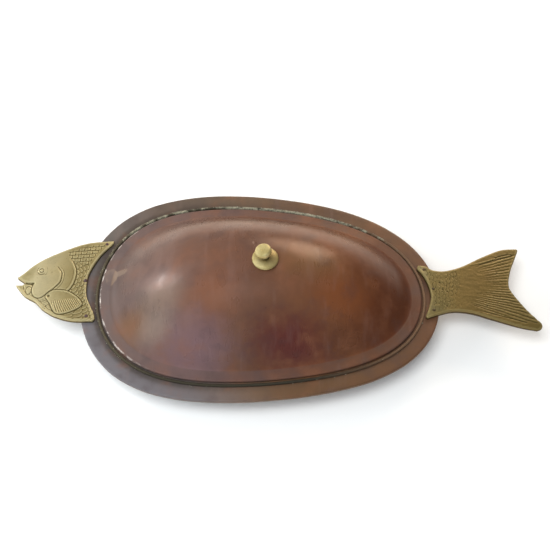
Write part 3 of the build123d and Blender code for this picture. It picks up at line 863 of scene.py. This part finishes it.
mouth_groove = [(-66.5, 3.8), (-61.0, 2.6), (-55.0, 2.6)]
lower_lip = [(-66.0, -1.0), (-64.0, -8.0), (-59.0, -13.6), (-52.0, -18.4), (-44.0, -20.6), (-38.0, -19.6)]
jaw_plate = (-59.4, -6.6)
eye_place = (-47.0, 20.3)
head_middle = (-30.8, 10.1)
head_peak = 7.0
head_crown_radius = 900.0


def from_end(points, end):
    """Points given from the pan's end, in the part's own frame."""
    return [(end + x, y) for x, y in points]


def scale_field(points, pitch_x, pitch_y, radius):
    """Overlapping scales whose free edges point along X, with a groove round each: height from 0 to 1."""
    height = np.zeros(len(points))
    taken = np.zeros(len(points), bool)
    column = np.floor(points[:, 0] / pitch_x).astype(int)
    for back in (2, 1, 0, -1):
        c = column - back
        shift = np.where(c % 2 == 0, 0.0, pitch_y / 2)
        line = np.round((points[:, 1] - shift) / pitch_y)
        dx, dy = points[:, 0] - c * pitch_x, points[:, 1] - line * pitch_y - shift
        away = np.hypot(dx, dy)
        covers = (away < radius) & (dx > -radius * 0.3) & ~taken
        body = 0.55 + 0.45 * np.clip(dx / radius, 0, 1)
        height = np.where(covers, soft_step(radius - away, 0.0, 0.2 * radius) * body, height)
        taken |= covers
    return height


def brick_scales(along, across, length, width):
    """Long scales in staggered rows, with a groove round each: height from 0 to 1."""
    line = np.floor(across / width)
    step = along / length + 0.5 * (line % 2)
    in_row = across / width - line
    in_step = step + 0.10 * (2 * in_row - 1) ** 2
    in_step = in_step - np.floor(in_step)
    row_groove = soft_step(np.minimum(in_row, 1 - in_row) * width, 0.0, 0.9)
    end_groove = soft_step(np.minimum(in_step, 1 - in_step) * length, 0.0, 0.9)
    return np.minimum(row_groove, end_groove)


def head_relief(points, gap):
    """Relief of the fish head over its crown, in mm."""
    local = points - [head_end, 0]
    wander = 0.35 * waves(np.column_stack([points, gap * 0]), 9.0, 6.3)
    cheek_line = smooth_line(cheek_edge)
    cheek_loop = np.vstack([cheek_line, [(-58, 3.0), (-64.1, 3.9), (-90, 5.0), (-90, 80), (-38, 80)]])
    gill_line = smooth_line(gill_edge)
    gill_loop = np.vstack([gill_line, [(-30, -20), (-90, -70), (-90, 80), (-26, 80), (-20, 47)]])
    cheek, cheek_way = signed(local, cheek_line, cheek_loop)
    gill, gill_way = signed(local, gill_line, gill_loop)
    fin_line = smooth_line(fin_outline, closed=True)
    fin_gap, _ = line_distance(local, fin_line, closed=True)
    fin = np.where(inside(local, fin_line), fin_gap, -fin_gap)

    # Scales behind the gill cover: round ones in arcs along it, long ones in rows under the back
    upper = soft_step(local[:, 1] + 0.25 * local[:, 0], 30.0, 34.0)
    behind = soft_step(-gill + wander, 0.3, 1.1)
    arcs = np.column_stack([-gill + wander, local[:, 1] + wander - 0.3 * gill])
    long = brick_scales(local[:, 0] + wander, local[:, 1] - 0.13 * local[:, 0] + 1.6 * wander, 6.6, 5.0)
    long = 1 - 0.75 * (1 - long) * soft_step(gap, 3.5, 6.5)
    scales = scale_field(arcs, 3.9, 7.0, 4.0) * (1 - upper) + long * upper
    height = -0.74 + 0.72 * scales * behind + 0.57 * (1 - behind)

    # Fine dark scales on the throat, between the jaw, the fin and the thick rim of the belly
    throat = soft_step(-cheek, 1.0, 2.4) * soft_step(-fin, 0.8, 1.8) * soft_step(gap, 2.6, 3.8)
    throat *= soft_step(-11.0 - local[:, 1], -1.0, 2.0) * soft_step(local[:, 0] + 52.0, 0.0, 5.0)
    throat *= 1 - behind
    height += throat * (0.42 * scale_field(local + wander[:, None], 1.9, 3.2, 2.1) - 0.40)
    low_rim = soft_step(-2.0 - local[:, 1], 0.0, 6.0) * (1 - soft_step(gap, 3.0, 4.0))
    height += 0.30 * low_rim

    # Gill cover and cheek: smooth plates, each with a rim and a groove that fade out at the top
    show = soft_step(gill_way, 0.0, 0.22) * (1 - 0.4 * soft_step(gill_way, 0.9, 1.0))
    scallop = gill + 0.30 * np.abs(np.sin(gill_way * math.pi * 8)) - 0.15
    height += (0.45 * soft_step(scallop, -0.3, 0.6) + 0.22 * bump(scallop - 1.3, 0.7)) * (0.4 + 0.6 * show)
    second_line = 0.16 * bump(gill - 3.6, 0.5) * soft_step(gill_way, 0.1, 0.3)
    height -= show * (0.55 * bump(scallop + 0.4, 0.55) + second_line)
    fade = soft_step(cheek_way, 0.0, 0.22)
    height += 0.55 * soft_step(cheek, -0.5, 0.9) * np.maximum(fade, soft_step(cheek, 5.0, 14.0))
    height += fade * (0.20 * bump(cheek - 1.5, 0.8) - 0.42 * bump(cheek + 0.5, 0.55))
    outer = fade * (cheek < 0) * (1 - soft_step(cheek_way, 0.55, 0.70))
    height += outer * (0.22 * bump(cheek + 1.9, 0.6) - 0.22 * bump(cheek + 3.1, 0.5))

    # Eye: soft ring and pupil, with a fainter socket line that is strongest at its lower left and far side
    dx, dy = local[:, 0] - eye_place[0], local[:, 1] - eye_place[1]
    eye = np.hypot(dx, dy * 0.92)
    height += 0.20 * bump(eye - 3.6, 0.8) - 0.34 * bump(eye - 2.5, 0.55) + 0.32 * bump(eye, 1.3)
    height -= 0.26 * bump(eye - 4.9, 0.5) * (0.25 + 0.75 * soft_step(-dx - dy, -3.0, 3.0))
    height -= 0.16 * bump(eye - 6.9, 0.5) * soft_step(dx, 2.0, 6.0)

    # Mouth groove with its dark corner, jaw plate, and two bands along the lower lip
    mouth, _ = line_distance(local, smooth_line(mouth_groove))
    height -= 1.6 * bump(mouth, 1.3)
    height -= 1.2 * bump(np.hypot(local[:, 0] + 55.6, (local[:, 1] - 1.6) * 0.8), 2.0)
    jaw = np.hypot((local[:, 0] - jaw_plate[0]) / 0.60, local[:, 1] - jaw_plate[1])
    below = soft_step(2.0 - local[:, 1], 0.0, 1.5) * soft_step(-cheek, -0.6, 0.4)
    height += below * (0.20 * soft_step(4.9 - jaw, 0.0, 1.2) - 0.40 * bump(jaw - 5.4, 0.75))
    lip, lip_way = line_distance(local, smooth_line(lower_lip))
    height -= 0.42 * bump(lip, 0.6) * soft_step(-cheek, 0.4, 1.2)
    height -= 0.22 * bump(lip - 2.0, 0.5) * soft_step(-cheek, 0.4, 1.2) * soft_step(lip_way, 0.3, 0.5)

    # Pectoral fin: raised pad with a pale rim, a pit at its root, and fine rays over its lower half
    pad = soft_step(fin, -0.4, 0.5)
    height = height * (1 - 0.9 * pad) + pad * 0.34
    height += 0.34 * bump(fin - 0.9, 0.7) - 0.55 * bump(fin + 0.7, 0.6)
    lean = local[:, 0] + 0.45 * (local[:, 1] + 24.0) * (1 + 0.035 * (local[:, 0] + 20.0))
    comb = np.abs(np.sin(lean / 2.5 * math.pi)) ** 0.8
    to_tip = soft_step(-16.6 - local[:, 1] + 0.16 * (local[:, 0] + 20), 0.0, 3.5)
    height += (comb - 0.6) * 0.80 * soft_step(fin, 1.2, 2.0) * to_tip
    height -= 1.0 * bump(np.hypot((local[:, 0] + 35.6) * 0.8, local[:, 1] + 13.6), 1.6)
    height += 0.05 * waves(np.column_stack([points, gap * 0]), 3.0, 2.2)
    return height


def head_outline():
    """Closed outline of the head casting in mm, with the mouth's slot cut in."""
    root = root_line(head_root)
    brow = smooth_line([tuple(root[-1])] + from_end(head_brow, head_end))
    slot = from_end(head_mouth, head_end)
    mouth = np.vstack([np.linspace(a, b, 14)[:-1] for a, b in zip(slot, slot[1:])])
    belly = smooth_line(from_end(head_belly, head_end) + [tuple(root[0])])
    return np.vstack([root[:-1], brow[:-1], mouth, belly[:-1]])


head = cast_piece("fish_head", head_outline(), head_relief,
                  ((head_end + head_middle[0], head_middle[1]), head_peak, head_crown_radius))
head_tints = [(-290, "#b5a976"), (-262, "#c8be95"), (-240, "#b7ab80"), (-222, "#9d9063"), (-205, "#918458"),
              (-176, "#b8aa78")]
# Pale band along the head's root bevel: wear with a painted highlight.
paint_wear_and_highlight(head, root_line(head_root), 1.6)
head.data.materials.append(dull_brass("cast_brass_head", head_tints, "#4f4520", "#c9bf92", 0.6))
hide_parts("head_casting")
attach(head, "dish")


# Fish tail: a narrow root with small pebbly scales, a smooth waist, and rays that fan to the fork between
# two thick smooth leading edges.

tail_end = pan_high.x
tail_root = [(19.6, 12.4), (17.8, 15.3), (13.3, 13.0), (7.2, 11.2), (0.5, 10.4), (353.7, 13.1),
             (349.2, 14.6), (348.0, 11.8)]
tail_belly = [(-3.6, -26.5), (14.6, -21.9), (35.6, -23.5), (57.1, -30.2), (89.3, -40.1), (109.8, -44.0)]
tail_fork = [(109.8, -44.0), (115.2, -41.2), (116.1, -35.1), (109.5, -27.7), (98.7, -15.3), (84.8, 5.7),
             (82.6, 17.4), (86.7, 34.7), (93.8, 52.3), (98.5, 64.0), (97.1, 66.7)]
tail_back = [(97.1, 66.7), (77.8, 64.2), (53.6, 52.7), (29.6, 39.4), (9.7, 32.6), (-5.1, 33.2), (-14.9, 39.0)]
tail_middle = (38.0, 8.1)
tail_peak = 6.4
tail_crown_radius = 1200.0
ray_fan = (-28.0, 9.5)
ray_pitch = 2.05
upper_ridge = [(34.0, 39.5), (52.0, 44.5), (70.0, 51.0), (88.0, 56.5)]
lower_groove = [(36.0, -19.0), (60.0, -25.0), (98.0, -34.5)]
tail_pits = [(70.8, 52.0, 1.0), (66.6, 48.6, 0.8), (69.6, 30.4, 0.8), (95.4, -1.6, 0.8), (54.0, -14.6, 0.8),
             (0.4, 15.6, 1.4), (3.4, 6.4, 1.0), (8.8, 3.6, 1.0), (7.4, -15.8, 0.9)]


def tail_relief(points, gap):
    """Relief of the tail over its crown, in mm."""
    local = points - [tail_end, 0]
    flat = np.column_stack([points, gap * 0])
    wander = waves(flat, 11.0, 3.3)
    lean = np.degrees(np.arctan2(local[:, 1] - ray_fan[1], local[:, 0] - ray_fan[0]))
    away = np.hypot(local[:, 0] - ray_fan[0], local[:, 1] - ray_fan[1])
    back_gap, _ = line_distance(local, smooth_line(tail_back))
    belly_gap, _ = line_distance(local, smooth_line(tail_belly + [tail_fork[1]]))
    lower = soft_step(8.0 - local[:, 1], -8.0, 14.0)

    # Rays between the two leading edges, each with its own strength and start
    turn = lean / ray_pitch * (1 + 0.10 * lower) + 0.20 * wander
    number = np.round(turn)
    own = np.sin(number * 12.9898) * np.cos(number * 4.1)
    edge = np.minimum(back_gap - 7.0, belly_gap - 6.5)
    start = 84 + 9 * own - 13 * lower - 0.5 * np.abs(lean) + 3 * wander
    field = soft_step(edge, 0.0, 2.5) * soft_step(away, start, start + 22)
    comb = np.abs(np.cos(turn * math.pi)) ** 0.7
    height = -0.30 * field + field * (comb - 0.5) * (0.34 + 0.20 * own + 0.22 * lower)
    ridge, way = line_distance(local, smooth_line(upper_ridge))
    height += 0.36 * bump(ridge, 0.8) * soft_step(way, 0.0, 0.3)
    height -= 0.30 * bump(ridge - 1.8, 0.8) * (back_gap > 7.5) * soft_step(way, 0.1, 0.4)
    line, way = line_distance(local, smooth_line(lower_groove))
    height -= 0.50 * bump(line, 0.8) * soft_step(way, 0.0, 0.4)

    # Pebbly scales at the root, uneven and worn away towards the waist, behind a broad worn bevel
    root_gap, _ = line_distance(points, root_line(tail_root))
    pebbled = soft_step(32.0 - local[:, 0], 0.0, 16.0) * soft_step(root_gap, 2.4, 3.8)
    pebbled *= soft_step(gap, 2.0, 5.0) * (0.55 + 0.45 * soft_step(waves(flat, 14.0, 8.1), -0.5, 0.3))
    uneven = np.column_stack([waves(flat, 7.0, 6.7), waves(flat, 6.0, 1.9)])
    skewed = local @ np.array([[1, 0.14], [-0.10, 1]]) + 2.2 * uneven
    height += pebbled * (0.48 * scale_field(skewed, 3.9, 6.2, 3.8) - 0.34)
    height += 0.16 * bump(root_gap - 2.0, 1.2)
    for x, y, radius in tail_pits:
        height -= 0.55 * bump(np.hypot(local[:, 0] - x, local[:, 1] - y), radius)
    height += 0.10 * waves(flat, 3.2, 4.4) + 0.12 * waves(flat * [0.35, 1.0, 1.0], 4.0, 5.4)
    return height


def tail_outline():
    """Closed outline of the tail casting in mm, with the fork cut in."""
    root = root_line(tail_root)
    belly = smooth_line([tuple(root[-1])] + from_end(tail_belly, tail_end))
    fork = smooth_line(from_end(tail_fork, tail_end))
    back = smooth_line(from_end(tail_back, tail_end) + [tuple(root[0])])
    return np.vstack([root[:-1], belly[:-1], fork[:-1], back[:-1]])


tail = cast_piece("fish_tail", tail_outline(), tail_relief,
                  ((tail_end + tail_middle[0], tail_middle[1]), tail_peak, tail_crown_radius))
tail_tints = [(186, "#8d8560"), (205, "#776b40"), (236, "#756234"), (262, "#6e5b2e"), (330, "#65582c")]
# Pale band along the tail's root bevel: wear with a painted highlight.
paint_wear_and_highlight(tail, root_line(tail_root), 3.2)
tail.data.materials.append(dull_brass("cast_brass_tail", tail_tints, "#3d3313", "#9b8c5c", 0.45))
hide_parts("tail_casting")
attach(tail, "dish")


# Rivets: six copper rivets with hammered heads, three at each casting, peened over under the flange.

def in_finish(node, material):
    """Gives a node's own mesh this one material."""
    node.data.materials.clear()
    node.data.materials.append(material)


rivet_finish = aged_copper("hammered_rivet_copper", [(-215, "#54413f"), (215, "#45391f")])
for name in nodes:
    if "_rivet_" in name:
        in_finish(nodes[name], rivet_finish)


# Lid: one copper sheet 0.9 mm thick, raised into a dome with a narrow brim. The edge is rolled round an
# iron wire. Years of hands have left the dome glossy in places and hazy in others.

lid_sheet = 0.9
wire_radius = 1.1
bead_radius = wire_radius + lid_sheet
bead_z = lid_low.z + bead_radius
brim_z = bead_z + bead_radius
brim_width = 9.5
brim_rise = 1.2
cove_size = 6.0
dome_fullness = 2.0
crown_seat = 0.10
crown_z = lid_high.z
foot_inset = bead_radius + brim_width
brim_steps = 8
dome_steps = 72
middle_scale = crown_seat * 0.3
dome_wave = 0.35
dome_wave_length = 60.0
rubbed_and_highlit_rows = (3, 12)
brim_end, brim_fade = 27, 6
cove_end, cove_fade = 40, 10


def dome_rise(scale):
    """Height of the dome over its foot, where scale is 1 at the foot and 0 in the middle."""
    full = math.sqrt((crown_z - brim_z - brim_rise + cove_size) ** 2 - cove_size ** 2)
    reach = max(0.0, (scale - crown_seat) / (1 - crown_seat))
    bulge = full * (1 - reach ** dome_fullness)
    return math.hypot(bulge, cove_size) - cove_size


def dome_rows(sheet):
    """Rows of the brim and dome for the face that lies this far inside the sheet, from the edge in."""
    rows = []
    for i in range(brim_steps):
        inset = bead_radius + brim_width * i / brim_steps
        rows.append(row(lid_oval, inset, brim_z + brim_rise * (i / brim_steps) ** 1.5 - sheet))
    for i in range(dome_steps):
        turn = i / dome_steps * math.pi / 2
        scale = middle_scale + (1 - middle_scale) * math.cos(turn) ** 0.9
        slope = (dome_rise(scale - 0.002) - dome_rise(min(1, scale + 0.002))) / (0.004 * lid_half_width)
        lean = math.hypot(1, slope)
        z = brim_z + brim_rise + dome_rise(scale) - sheet / lean
        rows.append(row(lid_oval, foot_inset + sheet * slope / lean, z, scale))
    return rows


def make_lid():
    """The lid's sheet, rolled at its edge, with the dome's slow waves, and the values for its edge's wear
    with painted highlight, its brim and its cove.
    """
    outside = [arc_row(lid_oval, bead_radius, bead_z, bead_radius, a) for a in range(-150, 90, 20)]
    outside += dome_rows(0.0)
    inside_rows = dome_rows(lid_sheet)[3:]
    rows = outside + inside_rows[::-1] + [arc_row(lid_oval, bead_radius, bead_z, bead_radius, -190)]
    points = np.concatenate(rows)
    above = np.clip((points[:, 2] - brim_z) / 8.0, 0, 1)
    seat = np.clip((np.hypot(points[:, 0] - knob_x, points[:, 1]) - 16.0) / 20.0, 0, 1)
    points[:, 2] += waves(points * [1, 1, 0], dome_wave_length, 7.7) * dome_wave * above * seat
    piece, points = loops_piece("lid_dome", np.split(points, len(rows)), len(outside) - 1)
    line = np.arange(len(points)) // loop_count
    # Rows of the rolled edge that take the pale flecks of wear and painted highlight.
    value_on(piece, "rubbed_and_highlit", (line >= rubbed_and_highlit_rows[0]) & (line < rubbed_and_highlit_rows[1]))
    value_on(piece, "brim", np.clip((brim_end - line) / brim_fade, 0, 1))
    value_on(piece, "cove", np.clip((cove_end - line) / cove_fade, 0, 1))
    return piece


# Partly the patina's own tints and partly painted shade: the lid darkens towards the tail end, away from the
# lamps at the head end.
lid_tints_and_shade = [(-190, "#62534e"), (-110, "#70574e"), (-50, "#68493b"), (20, "#64422f"), (90, "#74482b"),
             (150, "#582e15"), (195, "#522a13")]
brim_tints = [(-190, "#6c605d"), (-110, "#64524f"), (-30, "#604a45"), (60, "#5e4438"), (140, "#5f4535"),
              (190, "#66493a")]
lid_stains = [
    (-146, -56, 26, 22, "#745030", 0.75, 0.6), (-53, -38, 36, 32, "#794a2e", 0.65, 0.6),
    (-74, -88, 50, 36, "#765c61", 0.75, 0.6), (-112, -34, 30, 24, "#7d6b5a", 0.5, 0.6),
    (36, -80, 52, 28, "#541f1c", 0.85, 0.6), (52, 2, 44, 28, "#705030", 0.6, 0.6),
    (92, -34, 40, 26, "#7c4522", 0.65, 0.6), (128, -62, 34, 26, "#5a2f18", 0.6, 0.6),
    (-118, -64, 22, 18, "#887769", 0.55, 0.6), (94, -72, 32, 18, "#522d1a", 0.65, 0.6),
]
flake_stains = [(-176, 16, 10, 15, "#8f7a67", 0.9, 0.10), (-164, 18, 12, 6, "#857365", 0.8, 0.14)]
lid = make_lid()
lid.data.materials.append(aged_copper(
    "raised_copper", lid_tints_and_shade, lid_stains + flake_stains, edge_wear_and_highlight=0.9, brim_stops=brim_tints))
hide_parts("lid_shell")
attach(lid, "lid")


def dark_iron():
    """Tinned iron wire, gone dark and dull inside the rolled edge."""
    material, here, _ = new_material("tinned_iron")
    cloud = noise_field(here, 9.0, 4.0)
    return finished(material, mix_colour(ramp(cloud, 0.35, 0.65), "#4b4743", "#6e6963"), 0.9,
                    ramp(cloud, 0.3, 0.7, 0.5, 0.7))


wire = nodes["lid_edge_wire"]
in_finish(wire, dark_iron())


# Knob: a turned brass button on a domed rose, drawn down on the lid by a stud, washer and nut inside.
# The button leans towards the head, in its looks alone. The stud and the solids stand straight.

rose_low, rose_high = (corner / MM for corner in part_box("knob_rose"))
button_low, button_high = (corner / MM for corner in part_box("knob_button"))
bore_radius = 2.6
button_drop = 2.0
button_trim = 0.8
knob_lean = math.radians(13.0)


def turned_piece(name, profile, count=96):
    """Turned part: a profile of radius and height in mm, spun about the knob's upright axis."""
    t = np.linspace(0, 2 * math.pi, count, endpoint=False)
    return loops_piece(name, [
        np.column_stack([knob_x + radius * np.cos(t), radius * np.sin(t), np.full(count, z)])
        for radius, z in profile])[0]


def round_corner(corner, radius, start, end, steps=7):
    """Points of a round corner about a centre, from one direction in degrees to another."""
    return [(corner[0] + radius * math.cos(math.radians(a)), corner[1] + radius * math.sin(math.radians(a)))
            for a in np.linspace(start, end, steps)]


def rose_profile():
    """Half section of the rose: a rounded edge, a low dome and a flat seat for the button."""
    base, top = rose_low.z, rose_high.z
    edge = rose_high.x - knob_x
    profile = [(bore_radius, base), (6.0, base), (edge - 1.0, base)]
    profile += round_corner((edge - 2.0, base + 2.0), 2.0, -60, 64, 11)
    profile += [(edge - 2.6, base + 4.35), (edge - 4.6, base + 5.15), (edge - 6.6, base + 5.8)]
    profile += [(6.4, top - 0.28), (5.0, top), (bore_radius, top)]
    return profile


def button_profile():
    """Half section of the button: a waisted neck under a rounded head, lower and slimmer than the solid."""
    base, top = button_low.z, button_high.z - button_drop
    edge = button_high.x - knob_x - button_trim
    profile = [(bore_radius, base), (4.6, base), (4.9, base + 0.5), (4.7, base + 2.0), (5.0, base + 4.2)]
    profile += [(5.9, base + 5.9), (6.9, base + 6.9)]
    profile += round_corner((edge - 2.6, base + 9.6), 2.6, -62, 0)
    profile += round_corner((edge - 3.0, top - 3.3), 3.0, 0, 76, 10)
    profile += [(4.4, top - 0.18), (2.0, top - 0.04), (0.5, top), (0.5, top - 6.4), (bore_radius, top - 6.4)]
    return profile


def turned_brass():
    """Brass bar turned in a lathe and smoothed by use: yellow-olive, fine turning lines, painted shade with
    tarnish in the neck, and painted shade on its side towards the tail.
    """
    material, here, place = new_material("turned_brass")
    cloud = noise_field(here, 12.0, 4.0, shift=1.0)
    grain = noise_field(here, 1.4, 3.0, (1, 1, 5), 4.0)
    from_neck = calc("ABSOLUTE", calc("SUBTRACT", place["Z"], (rose_high.z + 1.5) * MM))
    colour = mix_colour(ramp(cloud, 0.35, 0.65), "#c0b074", "#d9cb92")
    # Painted shade with tarnish: dark in the neck, where the button meets the rose.
    colour = mix_colour(ramp(from_neck, 0.0045, 0.001, 0.0, 0.75), colour, "#4f3d10")
    colour = mix_colour(ramp(grain, 0.3, 0.7, 0.2, 0.0), colour, "#5f5530")
    # Painted shade: the knob's side towards the tail is darker, away from the lamps at the head end.
    side = ramp(place["X"], (knob_x - 1.0) * MM, (knob_x + 13.0) * MM, 0.0, 0.55)
    colour = mix_colour(side, colour, "#6e5728")
    return finished(material, colour, 0.5, ramp(cloud, 0.3, 0.7, 0.34, 0.44), bumped(grain, 0.2, 0.0002))


knob_finish = turned_brass()
turned = (("rose", rose_profile(), "knob_rose"), ("button", button_profile(), "knob_button"))
for name, profile, node in turned:
    piece = turned_piece(name, profile)
    if name == "button":
        root = Matrix.Translation((knob_x * MM, 0, button_low.z * MM))
        piece.data.transform(root @ Matrix.Rotation(-knob_lean, 4, "Y") @ root.inverted())
    piece.data.materials.append(knob_finish)
    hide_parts(node)
    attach(piece, "lid")
for name in ("knob_stud", "knob_washer", "knob_nut"):
    in_finish(nodes[name], knob_finish)
